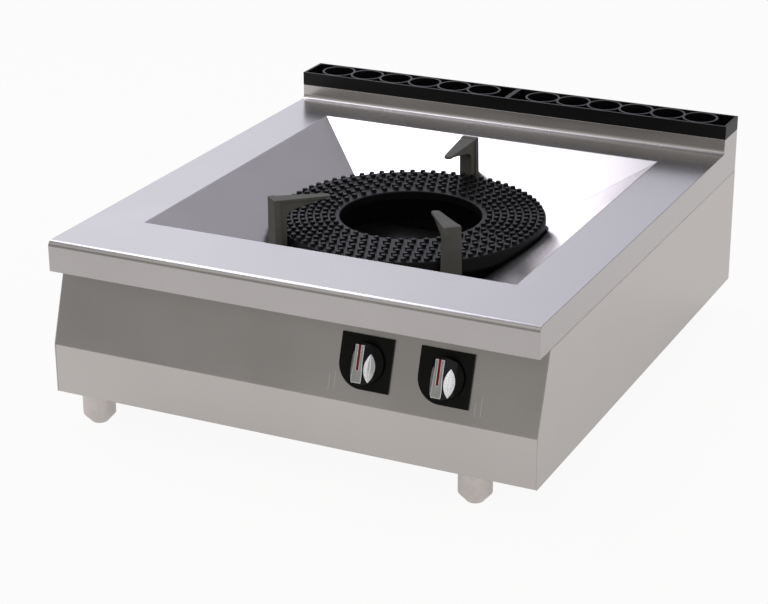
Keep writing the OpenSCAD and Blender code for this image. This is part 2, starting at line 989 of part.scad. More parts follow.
tap_out_len = 32;

// Copper pipe from a tap outlet to its injector
module supply_pipe(x, to_x, route_y) {
    out_y = front_y + knob_up * sin(lean_a) + tap_mid * cos(lean_a) + tap_out_len;
    out_z = lean_z + knob_up * cos(lean_a) - tap_mid * sin(lean_a);
    a = [x, out_y, out_z];
    b = [x, route_y, out_z];
    c = [to_x, route_y, mixer_z];
    d = [to_x, injector_y - injector_hex_l, mixer_z];
    color("peru") {
        rod(a, b, pipe_r);
        rod(b, c, pipe_r);
        rod(c, d, pipe_r);
        for (p = [b, c])
            translate(p)
                sphere(r = elbow_r, $fn = 32);
    }
}

module supply_pipe_left() {
    supply_pipe(knob_x, -mixer_x, route_left_y);
}

module supply_pipe_right() {
    supply_pipe(knob_x + knob_pitch, mixer_x, route_right_y);
}

// Bezel plate with one large rounded corner at the lower left
module bezel(x) {
    color("#0c0c0d")
        on_panel(x, knob_up)
            linear_extrude(bezel_t)
                difference() {
                    union() {
                        translate([-bezel_w / 2 + bezel_corner_r, -bezel_l / 2])
                            square([bezel_w - bezel_corner_r, bezel_l]);
                        translate([-bezel_w / 2, -bezel_l / 2 + bezel_corner_r])
                            square([bezel_w, bezel_l - bezel_corner_r]);
                        translate([-bezel_w / 2 + bezel_corner_r, -bezel_l / 2 + bezel_corner_r])
                            circle(r = bezel_corner_r, $fn = 96);
                    }
                    circle(r = bezel_hole_r, $fn = 48);
                }
}

module bezel_left() {
    bezel(knob_x);
}

module bezel_right() {
    bezel(knob_x + knob_pitch);
}

// Outline of the knob's grip, seen from the front
module grip_outline() {
    foot_w = grip_flare - 1.6;
    polygon([
        [-grip_w / 2, grip_top], [grip_w / 2, grip_top], [grip_waist / 2, 3],
        [grip_flare / 2, -17], [grip_flare / 2, 3 - grip_bottom], [foot_w / 2, -grip_bottom],
        [-foot_w / 2, -grip_bottom], [-grip_flare / 2, 3 - grip_bottom], [-grip_flare / 2, -17],
        [-grip_waist / 2, 3]]);
}

// Sloped shoulders on both sides of the grip, raised by a given amount
module shoulders(raise) {
    slope = (cheek_high - cheek_low) / (cheek_out - grip_w / 2);
    in_x = grip_waist / 2 - 1;
    in_z = cheek_low + raise + slope * (cheek_out - in_x);
    out_x = cheek_out + (cheek_low + raise - knob_under) / slope;
    translate([0, knob_r, 0])
        rotate([90, 0, 0])
            linear_extrude(2 * knob_r)
                polygon([[-out_x, knob_under], [out_x, knob_under], [in_x, in_z], [-in_x, in_z]]);
}

// Almond outline of a cheek on one side of the grip, seen from the front
module cheek_outline(side) {
    cheek_l = cheek_top + cheek_bottom;
    cheek_w = cheek_out - grip_flare / 2;
    bow_r = (cheek_l * cheek_l / 4 + cheek_w * cheek_w / 4) / cheek_w;
    translate([side * (grip_flare / 2 + cheek_w / 2), (cheek_top - cheek_bottom) / 2])
        intersection_for(bow = [-1, 1])
            translate([bow * (bow_r - cheek_w / 2), 0])
                circle(r = bow_r, $fn = 96);
}

module marker_strip() {
    translate([-marker_w / 2, grip_top - marker_len, knob_face_up - marker_t])
        cube([marker_w, marker_len, marker_t]);
    translate([-marker_w / 2, grip_top - marker_t, knob_base_top])
        cube([marker_w, marker_t, knob_face_up - knob_base_top - marker_t]);
}

// Black knob: a round base, two sloped shoulders and an upright grip
module knob(x) {
    color("#101011")
        on_panel(x, knob_up)
            difference() {
                union() {
                    translate([0, 0, knob_under])
                        cylinder(r = knob_r, h = knob_base_top - knob_under, $fn = 96);
                    intersection() {
                        shoulders(0);
                        cylinder(r = knob_r, h = knob_face_up - face_t, $fn = 96);
                    }
                    translate([0, 0, knob_under])
                        linear_extrude(knob_face_up - face_t - knob_under)
                            grip_outline();
                }
                translate([0, 0, knob_under - 1])
                    cylinder(r = spindle_r, h = spindle_knob - knob_under + 1, $fn = 32);
                marker_strip();
            }
}

module knob_left() {
    knob(knob_x);
}

module knob_right() {
    knob(knob_x + knob_pitch);
}

// Bright plate on the front of the grip
module knob_face(x) {
    color("silver")
        on_panel(x, knob_up)
            difference() {
                translate([0, 0, knob_face_up - face_t])
                    linear_extrude(face_t)
                        grip_outline();
                marker_strip();
            }
}

module knob_face_left() {
    knob_face(knob_x);
}

module knob_face_right() {
    knob_face(knob_x + knob_pitch);
}

// Bright almond plates on the shoulders
module knob_cheeks(x) {
    color("silver")
        on_panel(x, knob_up)
            difference() {
                intersection() {
                    shoulders(cheek_t);
                    for (side = [-1, 1])
                        linear_extrude(knob_face_up)
                            cheek_outline(side);
                }
                shoulders(0);
                linear_extrude(knob_face_up)
                    grip_outline();
            }
}

module knob_cheeks_left() {
    knob_cheeks(knob_x);
}

module knob_cheeks_right() {
    knob_cheeks(knob_x + knob_pitch);
}

// Red line let into the grip's face and over its upper end
module knob_marker(x) {
    color("firebrick")
        on_panel(x, knob_up)
            marker_strip();
}

module knob_marker_left() {
    knob_marker(knob_x);
}

module knob_marker_right() {
    knob_marker(knob_x + knob_pitch);
}

// Centres of the feet: side -1 is left or front, side 1 is right or back
function foot_x(side) = side < 0 ? -half_w + foot_left_inset : half_w - foot_right_inset;
function foot_y(side) = side < 0 ? front_y + foot_inset_y : back_y - foot_inset_y;

module at_foot(side_x, side_y) {
    translate([foot_x(side_x), foot_y(side_y), 0])
        children();
}

module at_feet() {
    for (side_x = [-1, 1])
        for (side_y = [-1, 1])
            at_foot(side_x, side_y)
                children();
}

// Foot with a chamfered underside, and a blind hole for its stud
module foot() {
    color("gainsboro")
        difference() {
            rotate_extrude($fn = 64)
                polygon([
                    [0, 0], [foot_r - foot_chamfer, 0], [foot_r, foot_neck_h],
                    [foot_r, under_z - body_gap], [0, under_z - body_gap]]);
            translate([0, 0, foot_hole_z])
                cylinder(r = stud_rod_r, h = foot_h, $fn = 32);
        }
}

// Stud that carries the foot and screws into its socket
module foot_stud() {
    color("silver")
        translate([0, 0, foot_hole_z])
            cylinder(r = stud_rod_r, h = under_z + stud_rod_up - foot_hole_z, $fn = 32);
}

module foot_sockets() {
    color("silver")
        at_feet()
            translate([0, 0, base_top_z])
                difference() {
                    cylinder(r = socket_r, h = socket_h, $fn = 6);
                    translate([0, 0, -1])
                        cylinder(r = stud_rod_r + run_fit, h = socket_h + 2, $fn = 32);
                }
}

module foot_front_left() {
    at_foot(-1, -1)
        foot();
}

module foot_front_right() {
    at_foot(1, -1)
        foot();
}

module foot_back_left() {
    at_foot(-1, 1)
        foot();
}

module foot_back_right() {
    at_foot(1, 1)
        foot();
}

module foot_stud_front_left() {
    at_foot(-1, -1)
        foot_stud();
}

module foot_stud_front_right() {
    at_foot(1, -1)
        foot_stud();
}

module foot_stud_back_left() {
    at_foot(-1, 1)
        foot_stud();
}

module foot_stud_back_right() {
    at_foot(1, 1)
        foot_stud();
}

worktop();
burner_well();
side_panel_left();
side_panel_right();
control_panel();
lower_front_panel();
back_panel();
base_pan();
base_screws();
flue_box();
flue_grille_left();
flue_grille_right();
burner_crossbars();
burner_body();
burner_head();
mixer_tube_inner();
mixer_tube_outer();
air_shutter_inner();
air_shutter_outer();
injector_inner();
injector_outer();
injector_bracket();
pilot_bracket();
pilot_burner();
pilot_pipe();
thermocouples();
drip_tray();
pan_support_back();
pan_support_left();
pan_support_right();
gas_manifold();
gas_inlet_pipe();
gas_tap_left();
gas_tap_right();
tap_plug_left();
tap_plug_right();
tap_spindle_left();
tap_spindle_right();
supply_pipe_left();
supply_pipe_right();
bezel_left();
bezel_right();
knob_left();
knob_right();
knob_face_left();
knob_face_right();
knob_cheeks_left();
knob_cheeks_right();
knob_marker_left();
knob_marker_right();
foot_front_left();
foot_front_right();
foot_back_left();
foot_back_right();
foot_stud_front_left();
foot_stud_front_right();
foot_stud_back_left();
foot_stud_back_right();
foot_sockets();
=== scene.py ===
"""Looks of the countertop paella burner, built around its solid model, in metres."""

import json
import math

import bmesh
import bpy
from mathutils import Matrix, Vector


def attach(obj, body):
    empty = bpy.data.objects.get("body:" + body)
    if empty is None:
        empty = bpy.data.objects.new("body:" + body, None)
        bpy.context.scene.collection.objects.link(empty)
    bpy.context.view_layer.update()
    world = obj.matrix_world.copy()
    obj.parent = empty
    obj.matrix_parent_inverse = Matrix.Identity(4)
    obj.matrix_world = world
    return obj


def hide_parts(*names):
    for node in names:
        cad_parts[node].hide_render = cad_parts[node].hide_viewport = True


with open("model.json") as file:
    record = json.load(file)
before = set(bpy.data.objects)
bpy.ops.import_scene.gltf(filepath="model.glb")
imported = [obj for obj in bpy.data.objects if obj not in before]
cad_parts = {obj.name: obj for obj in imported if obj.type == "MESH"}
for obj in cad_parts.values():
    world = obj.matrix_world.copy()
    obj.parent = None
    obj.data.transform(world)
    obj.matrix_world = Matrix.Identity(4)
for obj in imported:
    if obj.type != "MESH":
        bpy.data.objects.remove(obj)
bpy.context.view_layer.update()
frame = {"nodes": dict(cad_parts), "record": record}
scene = bpy.context.scene

MM = 0.001
nodes = frame["nodes"]
body_of = {n: b for b, ns in frame["record"]["behaviour"]["bodies"].items() for n in ns}
slot_of = {s["node"]: s["material_slot"] for s in frame["record"]["subparts"]}


# Colour and shader helpers

# Noise lies mostly between these two values
NOISE_LOW = 0.3
NOISE_HIGH = 0.7


def linear(hex_value):
    """Linear colour of an sRGB hex value."""
    channels = [int(hex_value[i:i + 2], 16) / 255 for i in (1, 3, 5)]
    return [c / 12.92 if c <= 0.04045 else ((c + 0.055) / 1.055) ** 2.4 for c in channels] + [1.0]


def add(tree, kind, links=None, **settings):
    """Adds a shader node. Settings set its properties or input values; links feed its inputs."""
    node = tree.nodes.new(kind)
    for key, value in settings.items():
        if hasattr(node, key) and not key.startswith("in_"):
            setattr(node, key, value)
        else:
            name = key[3:].replace("_", " ") if key.startswith("in_") else key
            node.inputs[int(name) if name.isdigit() else name].default_value = value
    for target, source in (links or {}).items():
        tree.links.new(source, node.inputs[target])
    return node


def new_material(name):
    """An empty material with its output node."""
    material = bpy.data.materials.new(name)
    material.use_nodes = True
    material.node_tree.nodes.clear()
    output = add(material.node_tree, "ShaderNodeOutputMaterial")
    return material, material.node_tree, output


def pattern(tree, size_mm, detail, rough, stretch=(1, 1, 1)):
    """Noise fixed to the object, with features of about size_mm, stretched along the axes of a grain."""
    coordinates = add(tree, "ShaderNodeTexCoord")
    mapping = add(tree, "ShaderNodeMapping", {"Vector": coordinates.outputs["Object"]}, in_Scale=stretch)
    made = add(tree, "ShaderNodeTexNoise", {"Vector": mapping.outputs["Vector"]},
               in_Scale=1 / (size_mm * MM), in_Detail=detail, in_Roughness=rough)
    return made.outputs["Fac"]


def varied(tree, value, low, high):
    """Goes from low to high as a pattern does."""
    made = add(tree, "ShaderNodeMapRange", {"Value": value},
               in_1=NOISE_LOW, in_2=NOISE_HIGH, in_3=low, in_4=high)
    return made.outputs["Result"]


def shades(tree, value, dark, light):
    """A colour that goes from one hex value to another as a pattern does."""
    made = add(tree, "ShaderNodeMix", {"Factor": varied(tree, value, 0.0, 1.0)}, data_type="RGBA")
    made.inputs["A"].default_value = linear(dark)
    made.inputs["B"].default_value = linear(light)
    return made.outputs["Result"]


def relief(tree, height, depth_mm, edge_mm):
    """Normals of a fine relief, with edges rounded by edge_mm."""
    edge = add(tree, "ShaderNodeBevel", samples=4, in_Radius=edge_mm * MM)
    made = add(tree, "ShaderNodeBump", {"Height": height, "Normal": edge.outputs["Normal"]},
               in_Distance=depth_mm * MM, in_Strength=1.0)
    return made.outputs["Normal"]


# Kinds of surface, with their wear: how far the roughness varies each way

# Sheet: the real scratches are about 0.1 mm apart; they are drawn 0.8 mm apart so that they show.
SCRATCH_MM = 0.8
SCRATCH_STRETCH = 0.008
MOTTLE_MM = 2.2
GRINDING_CLOUD_MM = 160
SCRATCH_DEPTH_MM = 0.004
SHEET_EDGE_MM = 1.0
SHEET_WEAR = 0.03

# Castings: stains from heat, and edges as the sand leaves them
STAIN_MM = 30
CAST_EDGE_MM = 0.8
CAST_WEAR = 0.06

# Polished metal: clouds from handling, and slightly broken edges
HANDLING_CLOUD_MM = 12
HANDLING_DEPTH_MM = 0.01
POLISHED_EDGE_MM = 0.3
POLISHED_WEAR = 0.04

# Plastic: the fine skin of the mould
MOULD_SKIN_MM = 0.6
MOULD_SKIN_DEPTH_MM = 0.004
MOULD_CLOUD_MM = 15
PLASTIC_EDGE_MM = 0.4
PLASTIC_WEAR = 0.03


def brushed_stainless(name, dark, light, grain, rough):
    """Ground stainless sheet: fine straight scratches along the grain, so highlights smear across it."""
    material, tree, output = new_material(name)
    along = tuple(SCRATCH_STRETCH if axis == grain else 1.0 for axis in "XYZ")
    scratches = pattern(tree, SCRATCH_MM, detail=4.0, rough=0.7, stretch=along)
    mottle = pattern(tree, MOTTLE_MM, detail=2.0, rough=0.6)
    clouds = pattern(tree, GRINDING_CLOUD_MM, detail=2.0, rough=0.5)
    blend = add(tree, "ShaderNodeMath", {0: scratches, 1: mottle}, operation="ADD")
    halved = add(tree, "ShaderNodeMath", {0: blend.outputs[0]}, operation="MULTIPLY", in_1=0.5)
    mixed = add(tree, "ShaderNodeMath", {0: halved.outputs[0], 1: clouds}, operation="ADD")
    tone = add(tree, "ShaderNodeMath", {0: mixed.outputs[0]}, operation="MULTIPLY", in_1=0.5)
    shader = add(tree, "ShaderNodeBsdfPrincipled", {
        "Base Color": shades(tree, tone.outputs[0], dark, light),
        "Roughness": varied(tree, clouds, rough - SHEET_WEAR, rough + SHEET_WEAR),
        "Normal": relief(tree, halved.outputs[0], SCRATCH_DEPTH_MM, SHEET_EDGE_MM)}, Metallic=1.0)
    tree.links.new(shader.outputs[0], output.inputs["Surface"])
    return material


def cast_iron(name, dark, light, rough, grit_mm, depth_mm, specular=0.35):
    """Sand-cast iron under a dark coat: a pebbled skin that scatters soft grey highlights."""
    material, tree, output = new_material(name)
    grit = pattern(tree, grit_mm, detail=4.0, rough=0.6)
    stains = pattern(tree, STAIN_MM, detail=3.0, rough=0.6)
    shader = add(tree, "ShaderNodeBsdfPrincipled", {
        "Base Color": shades(tree, stains, dark, light),
        "Roughness": varied(tree, grit, rough - CAST_WEAR, rough + CAST_WEAR),
        "Normal": relief(tree, grit, depth_mm, CAST_EDGE_MM)})
    shader.inputs["Specular IOR Level"].default_value = specular
    tree.links.new(shader.outputs[0], output.inputs["Surface"])
    return material


def polished_metal(name, dark, light, rough, metallic=1.0):
    """Polished, plated or drawn metal: smooth, with a faint cloudiness from handling."""
    material, tree, output = new_material(name)
    clouds = pattern(tree, HANDLING_CLOUD_MM, detail=3.0, rough=0.6)
    shader = add(tree, "ShaderNodeBsdfPrincipled", {
        "Base Color": shades(tree, clouds, dark, light),
        "Roughness": varied(tree, clouds, rough - POLISHED_WEAR, rough + POLISHED_WEAR),
        "Normal": relief(tree, clouds, HANDLING_DEPTH_MM, POLISHED_EDGE_MM)}, Metallic=metallic)
    tree.links.new(shader.outputs[0], output.inputs["Surface"])
    return material


def moulded_plastic(name, dark, light, rough, specular=0.5):
    """Moulded plastic: a deep even colour with a very fine texture that softens reflections."""
    material, tree, output = new_material(name)
    skin = pattern(tree, MOULD_SKIN_MM, detail=2.0, rough=0.5)
    clouds = pattern(tree, MOULD_CLOUD_MM, detail=2.0, rough=0.5)
    shader = add(tree, "ShaderNodeBsdfPrincipled", {
        "Base Color": shades(tree, clouds, dark, light),
        "Roughness": varied(tree, clouds, rough - PLASTIC_WEAR, rough + PLASTIC_WEAR),
        "Normal": relief(tree, skin, MOULD_SKIN_DEPTH_MM, PLASTIC_EDGE_MM)})
    shader.inputs["Specular IOR Level"].default_value = specular
    tree.links.new(shader.outputs[0], output.inputs["Surface"])
    return material


# Finishes of this unit, each with what it gives the eye
MATERIALS = {
    # Sheet ground from side to side: soft silver, with highlights that smear towards the viewer
    "worktop_steel": brushed_stainless(
        "ground_stainless_worktop", "#bab7b6", "#c5c2c1", grain="X", rough=0.26),
    # Finer sheet ground from back to front: nearly a mirror for the bright surround and the burner
    "well_steel": brushed_stainless(
        "ground_stainless_well", "#c9c4c3", "#d4cfce", grain="Y", rough=0.22),
    # Duller sheet: the sides and the upright front stay an even, slightly warm grey
    "panel_steel": brushed_stainless(
        "ground_stainless_panels", "#c6c2bf", "#d1cdca", grain="Y", rough=0.34),
    # Slanted sheet ground from side to side: mid grey, since it mirrors the dim front of the room
    "control_steel": brushed_stainless(
        "dark_ground_stainless", "#b9b6b4", "#c3c0be", grain="X", rough=0.34),
    # Inner sheet as the mill leaves it: dull grey
    "inner_steel": brushed_stainless(
        "mill_finish_stainless", "#7c7b79", "#8f8e8c", grain="X", rough=0.42),
    # Zinc plating: light grey with small glints
    "fastener_steel": polished_metal("zinc_plated_steel", "#9a9893", "#b4b2ad", rough=0.3),
    # Turned stainless: pale, with soft bright bands up and down the feet
    "foot_steel": polished_metal("turned_stainless_feet", "#cfc9c6", "#dad5d2", rough=0.3),
    # Iron blackened by heat: nearly black, with a dull sheen that picks out the studs
    "burner_iron": cast_iron(
        "cast_iron_burner", "#0b0b0c", "#101011", rough=0.42, grit_mm=1.2, depth_mm=0.05, specular=0.25),
    # The same iron lower down, under soot: black without a sheen
    "body_iron": cast_iron(
        "cast_iron_burner_body", "#030303", "#060606", rough=0.6, grit_mm=1.5, depth_mm=0.05, specular=0.1),
    # Coarse castings of the mixer tubes: dark grey and rough
    "tube_iron": cast_iron(
        "cast_iron_tubes", "#1c1c1d", "#282829", rough=0.55, grit_mm=1.5, depth_mm=0.08),
    # Worn grey enamel: pale tops and dark upright faces, with hardly a highlight
    "support_iron": cast_iron(
        "enamelled_cast_iron_supports", "#5b5a54", "#66655f", rough=0.55, grit_mm=1.0, depth_mm=0.03,
        specular=0.12),
    # Black enamel: deep black with soft highlights along the rings
    "grille_iron": cast_iron(
        "enamelled_cast_iron_grilles", "#030304", "#070708", rough=0.42, grit_mm=1.0, depth_mm=0.03,
        specular=0.3),
    # Black enamel on pressed sheet: a flat dark floor under the burner
    "tray_enamel": cast_iron(
        "black_enamelled_tray", "#040404", "#070707", rough=0.5, grit_mm=3.0, depth_mm=0.01, specular=0.1),
    # Moulded black plastic: even and deep, with a weak broad gloss
    "black_plastic": moulded_plastic(
        "moulded_black_plastic", "#0c0c0b", "#10100f", rough=0.25, specular=0.18),
    # Satin chrome: pale from every side, since nearly half of it scatters as paint does
    "bright_trim": polished_metal(
        "satin_chrome_trim", "#eceeee", "#f6f7f7", rough=0.26, metallic=0.55),
    # Brushed plate: mid grey inside its bright rim
    "plate_trim": polished_metal("brushed_plate_trim", "#b6b8b7", "#c2c4c3", rough=0.34),
    # Moulded red line: a deep even red
    "red_line": moulded_plastic("moulded_red_plastic", "#840b14", "#930f19", rough=0.35, specular=0.2),
    # Ink printed on the sheet: as even as plastic, and slightly paler than the steel
    "pale_ink": moulded_plastic("printed_pale_ink", "#d6d3cf", "#e2dfdb", rough=0.5),
    # Machined brass: warm yellow with clear highlights
    "tap_brass": polished_metal("machined_brass", "#b08b4a", "#c29c59", rough=0.28),
    # Drawn copper: reddish, with long highlights along the pipes
    "copper_pipe": polished_metal("drawn_copper", "#b2674a", "#c67a58", rough=0.3),
}


def dress(obj, finish):
    """Gives an object one finish."""
    obj.data.materials.clear()
    obj.data.materials.append(MATERIALS[finish])


for node_name, node_object in nodes.items():
    dress(node_object, slot_of[node_name])
dress(nodes["burner_well"], "well_steel")
dress(nodes["burner_body"], "body_iron")
dress(nodes["drip_tray"], "tray_enamel")


# Meshes

# Angles in degrees: faces within the first count as one flat face, and edges above the second are sharp
FLAT_WITHIN = 0.6
SHARP_ABOVE = 32
SAME_PLACE_MM = 0.01


def in_place(work, name, node, finish=None):
    """Makes a piece from a bmesh that stands for a CAD node: same body, same material slot."""
    mesh = bpy.data.meshes.new(name)
    bmesh.ops.recalc_face_normals(work, faces=work.faces)
    work.to_mesh(mesh)
    work.free()
    for face in mesh.polygons:
        face.use_smooth = True
    mesh.set_sharp_from_angle(angle=math.radians(SHARP_ABOVE))
    piece = bpy.data.objects.new(name, mesh)
    scene.collection.objects.link(piece)
    # Normals follow the large faces, so flat sheet stays flat up to its rounded edges.
    piece.modifiers.new("flat_faces", "WEIGHTED_NORMAL").keep_sharp = True
    dress(piece, finish or slot_of[node])
    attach(piece, body_of[node])
    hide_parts(node)
    return piece


def node_copy(node):
    """The CAD node's shape with its facets joined into whole faces."""
    work = bmesh.new()
    work.from_mesh(nodes[node].data)
    bmesh.ops.remove_doubles(work, verts=work.verts, dist=SAME_PLACE_MM * MM)
    bmesh.ops.dissolve_limit(work, angle_limit=math.radians(FLAT_WITHIN), verts=work.verts, edges=work.edges)
    return work


def rounded(node, name, radius_mm, segments=3, angle=35, finish=None):
    """A copy of a node whose edges of at least angle degrees are rounded, as making or wear leaves them."""
    work = node_copy(node)
    edges = [edge for edge in work.edges
             if len(edge.link_faces) == 2 and edge.calc_face_angle(0) >= math.radians(angle)]
    bmesh.ops.bevel(work, geom=edges, offset=radius_mm * MM, segments=segments, profile=0.5,
                    affect="EDGES", clamp_overlap=True, harden_normals=False)
    return in_place(work, name, node, finish)


def around(centre, r, angle, z):
    """A point at a radius and an angle about an upright axis, from millimetres to metres."""
    return centre[0] * MM + r * MM * math.cos(angle), centre[1] * MM + r * MM * math.sin(angle), z * MM


def lathe(work, profile, sides, centre):
    """Turns a closed profile of (radius, height) in millimetres about an upright axis at centre."""
    rings = []
    for i in range(sides):
        angle = 2 * math.pi * i / sides
        rings.append([work.verts.new(around(centre, r, angle, z)) for r, z in profile])
    for i in range(sides):
        one, two = rings[i], rings[(i + 1) % sides]
        for j in range(len(profile)):
            k = (j + 1) % len(profile)
            work.faces.new((one[j], two[j], two[k], one[k]))


def turned(work, profile, sides, centre):
    """Turns an open profile about an upright axis; a point on the axis closes it there."""
    rings = []
    for r, z in profile:
        steps = sides if r else 1
        rings.append([work.verts.new(around(centre, r, 2 * math.pi * i / sides, z)) for i in range(steps)])
    for one, two in zip(rings, rings[1:]):
        for i in range(sides):
            k = (i + 1) % sides
            corners = [one[i % len(one)], one[k % len(one)], two[k % len(two)], two[i % len(two)]]
            corners = list(dict.fromkeys(corners))
            if len(corners) > 2:
                work.faces.new(corners)


def arc(cx, cy, r, start, end, steps):
    """Points of an arc, in degrees."""
    angles = [math.radians(start + (end - start) * i / steps) for i in range(steps + 1)]
    return [(cx + r * math.cos(angle), cy + r * math.sin(angle)) for angle in angles]


# Sizes repeated from the CAD source, in millimetres

FRONT_Y = -442.0152
BURNER_Y = -2.0152
LEAN_Z = 131
PANEL_LEAN = 40
LEAN_H = 120
LEAN_A = math.atan(PANEL_LEAN / LEAN_H)
HEAD_R = 217.5
HEAD_HOLE_R = 115
HEAD_Z = 260
HEAD_UNDER_Z = 246
SKIRT_Z = 230
SKIRT_T = 11
STUD_RINGS = 8
STUD_FIRST = 40
STUD_MORE = 5
STUD_RING_R = 127
STUD_PITCH = 12
STUD_R = 4.3
STUD_TOP = 265
STUD_TURN = 0.2
KNOB_X = {"left": 125, "right": 250}
KNOB_UP = 61.5
GRIP_W = 14
GRIP_FLARE = 16
CHEEK_TOP = 15.5
CHEEK_BOTTOM = 27
CHEEK_LOW = 8
CHEEK_HIGH = 25.5
CHEEK_OUT = 19


# Sheet metal

rounded("worktop", "worktop_pressing", radius_mm=1.2)
rounded("burner_well", "well_pressing", radius_mm=0.7, segments=2, angle=25, finish="well_steel")
for side in ("left", "right"):
    rounded("side_panel_" + side, "side_sheet_" + side, radius_mm=0.6, segments=2)
rounded("control_panel", "control_sheet", radius_mm=0.6, segments=2)
rounded("lower_front_panel", "lower_front_sheet", radius_mm=0.6, segments=2)
rounded("back_panel", "back_sheet", radius_mm=0.4, segments=2)


# Castings

RIM_ROUND = 2.0
HEAD_SIDES = 192
STUD_SIDES = 14
# Half outline of a stud: how far out from its radius, and how far above the ring or the stud's top
STUD_FOOT = ((0.35, -0.4), (0.0, 0.5))
STUD_CROWN = ((-0.1, -1.0), (-0.45, -0.3), (-1.2, 0.0))


def burner_head_casting():
    """The ring with its turned rim and the rings of studs, each with a softly rounded top."""
    work = bmesh.new()
    profile = ([(HEAD_HOLE_R, HEAD_UNDER_Z)]
               + arc(HEAD_HOLE_R + RIM_ROUND, HEAD_Z - RIM_ROUND, RIM_ROUND, start=180, end=90, steps=4)
               + arc(HEAD_R - RIM_ROUND, HEAD_Z - RIM_ROUND, RIM_ROUND, start=90, end=0, steps=4)
               + arc(HEAD_R - SKIRT_T, SKIRT_Z + SKIRT_T, SKIRT_T, start=0, end=-90, steps=10)
               + [(HEAD_R - SKIRT_T, HEAD_UNDER_Z)])
    lathe(work, profile, HEAD_SIDES, (0, BURNER_Y))
    stud = ([(STUD_R + out, HEAD_Z + up) for out, up in STUD_FOOT]
            + [(STUD_R + out, STUD_TOP + up) for out, up in STUD_CROWN]
            + [(0, STUD_TOP)])
    for ring in range(STUD_RINGS):
        count = STUD_FIRST + ring * STUD_MORE
        r = STUD_RING_R + ring * STUD_PITCH
        for i in range(count):
            angle = 2 * math.pi * (i - STUD_TURN * (ring % 2)) / count
            turned(work, stud, STUD_SIDES, (r * math.cos(angle), BURNER_Y + r * math.sin(angle)))
    return in_place(work, "burner_head_casting", "burner_head")


burner_head_casting()
rounded("burner_body", "burner_body_casting", radius_mm=1.2, finish="body_iron")
for side in ("back", "left", "right"):
    rounded("pan_support_" + side, "support_casting_" + side, radius_mm=1.1)
for side in ("left", "right"):
    rounded("flue_grille_" + side, "grille_casting_" + side, radius_mm=0.8, segments=2)


# Knobs and marks on the slanted panel, in millimetres

PLATE_RIM = 0.9
# Cosine of the angle within which a face counts as the plate's front
FACES_OUT = 0.9

CHEEK_ACROSS = 24
CHEEK_ALONG = 30
# Share of the cheek's length that the plate covers, so that its tips stay inside the cheek
CHEEK_SHARE = 0.985
CHEEK_SKIN = 0.25
CHEEK_UNDER = 0.02
RIDGE_H = 0.6
RIDGE_POWER = 1.6
FLUTE_H = 0.08
FLUTES = 6
GROOVE_H = 0.45
GROOVE_W = 0.14
TIP_FLATTENING = 0.6

# Strokes on the panel: place to the right of the middle, and their lower and upper ends up the panel
STROKES = ((70.5, 12, 36), (79.5, 16, 42), (301, 14, 36), (310, 15, 42))
STROKE_W = 0.9
STROKE_T = 0.06


def on_panel(x, up, out):
    """A point in metres that lies up the slanted panel and out of it, from millimetres."""
    return Vector((x, FRONT_Y + up * math.sin(LEAN_A) - out * math.cos(LEAN_A),
                   LEAN_Z + up * math.cos(LEAN_A) + out * math.sin(LEAN_A))) * MM


def knob_frame(x):
    """From a knob's frame in millimetres to the model's in metres: x right, y up the panel, z out of it."""
    turn = Matrix.Rotation(math.pi / 2 - LEAN_A, 4, "X")
    return Matrix.Translation(on_panel(x, KNOB_UP, 0)) @ turn @ Matrix.Scale(MM, 4)


def cheek_lift(u, v):
    """Height of a cheek over its shoulder: u goes across it and v along it, each from -1 to 1."""
    ridge = RIDGE_H * (1 - abs(u)) ** RIDGE_POWER
    flutes = FLUTE_H * (0.5 + 0.5 * math.cos(FLUTES * math.pi * u))
    groove = GROOVE_H * math.exp(-(u / GROOVE_W) ** 2)
    return CHEEK_SKIN + (ridge + flutes - groove) * (1 - TIP_FLATTENING * abs(v) ** 3)


def cheek_plates(side):
    """Two almond plates, ridged and fluted with a groove along the middle, one on each knob shoulder."""
    half_l = (CHEEK_TOP + CHEEK_BOTTOM) / 2
    half_w = (CHEEK_OUT - GRIP_FLARE / 2) / 2
    bow_r = (half_l ** 2 + half_w ** 2) / (2 * half_w)
    slope = (CHEEK_HIGH - CHEEK_LOW) / (CHEEK_OUT - GRIP_W / 2)
    work = bmesh.new()
    for hand in (-1, 1):
        top, low = [], []
        for j in range(CHEEK_ALONG + 1):
            v = -1 + 2 * j / CHEEK_ALONG
            d = CHEEK_SHARE * v * half_l
            width = math.sqrt(bow_r ** 2 - d ** 2) - (bow_r - half_w)
            row_top, row_low = [], []
            for i in range(CHEEK_ACROSS + 1):
                u = -1 + 2 * i / CHEEK_ACROSS
                x = hand * (GRIP_FLARE / 2 + half_w + u * width)
                y = (CHEEK_TOP - CHEEK_BOTTOM) / 2 + d
                shoulder = CHEEK_LOW + slope * (CHEEK_OUT - abs(x))
                row_top.append(work.verts.new((x, y, shoulder + cheek_lift(u, v))))
                row_low.append(work.verts.new((x, y, shoulder + CHEEK_UNDER)))
            top.append(row_top)
            low.append(row_low)
        for j in range(CHEEK_ALONG):
            for i in range(CHEEK_ACROSS):
                work.faces.new((top[j][i], top[j][i + 1], top[j + 1][i + 1], top[j + 1][i]))
                work.faces.new((low[j][i], low[j + 1][i], low[j + 1][i + 1], low[j][i + 1]))
            for i in (0, CHEEK_ACROSS):
                work.faces.new((top[j][i], top[j + 1][i], low[j + 1][i], low[j][i]))
        for j in (0, CHEEK_ALONG):
            for i in range(CHEEK_ACROSS):
                work.faces.new((top[j][i], low[j][i], low[j][i + 1], top[j][i + 1]))
    bmesh.ops.transform(work, matrix=knob_frame(KNOB_X[side]), verts=work.verts)
    return in_place(work, "cheek_plates_" + side, "knob_cheeks_" + side)


